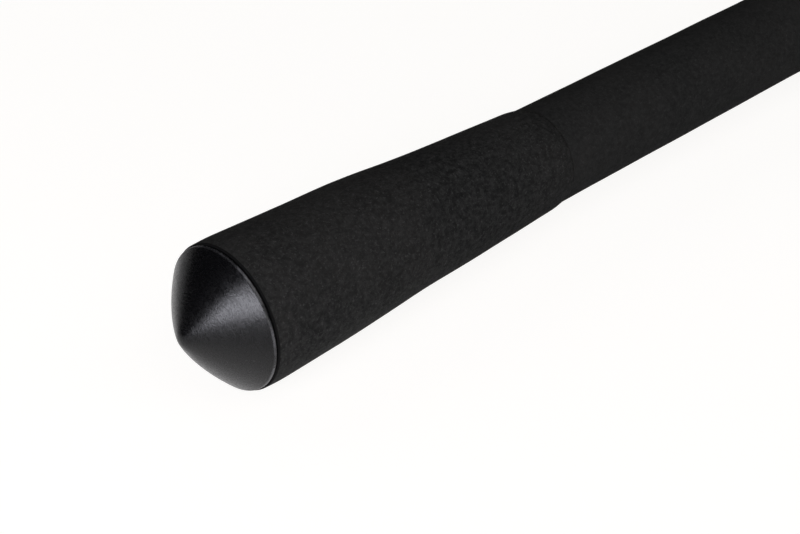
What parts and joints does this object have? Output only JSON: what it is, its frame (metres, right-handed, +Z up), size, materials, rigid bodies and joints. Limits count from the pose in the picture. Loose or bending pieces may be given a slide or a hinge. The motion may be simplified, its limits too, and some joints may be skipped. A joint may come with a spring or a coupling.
{
  "type": "devil stick",
  "caption": "Hourglass juggling baton: black rubber covers over a foam and fibreglass core, thick tapered ends lapping a slim shaft, glossy black conical end caps.",
  "frame": {"origin": "middle of the stick on its axis, which is also the centre of balance", "axes": "+X along the stick towards the right end cap, +Z up, +Y completes the right-handed frame; the stick is a solid of revolution about X"},
  "size_m": [0.64, 0.035, 0.035],
  "materials": {
    "fibreglass": "satin",
    "dowel_wood": "raw",
    "hub_plastic": "matte",
    "sleeve_foam": "matte",
    "cover_rubber": "matte",
    "cap_plastic": "gloss"
  },
  "bodies": {
    "root": {"core_tube": "fibreglass", "tube_plug_left": "dowel_wood", "tube_plug_right": "dowel_wood", "end_hub_left": "hub_plastic", "end_hub_right": "hub_plastic", "taper_sleeve_left": "sleeve_foam", "taper_sleeve_right": "sleeve_foam", "waist_sleeve": "sleeve_foam", "shaft_cover": "cover_rubber", "end_cover_left": "cover_rubber", "end_cover_right": "cover_rubber", "end_cap_left": "cap_plastic", "end_cap_right": "cap_plastic"}
  },
  "joints": []
}
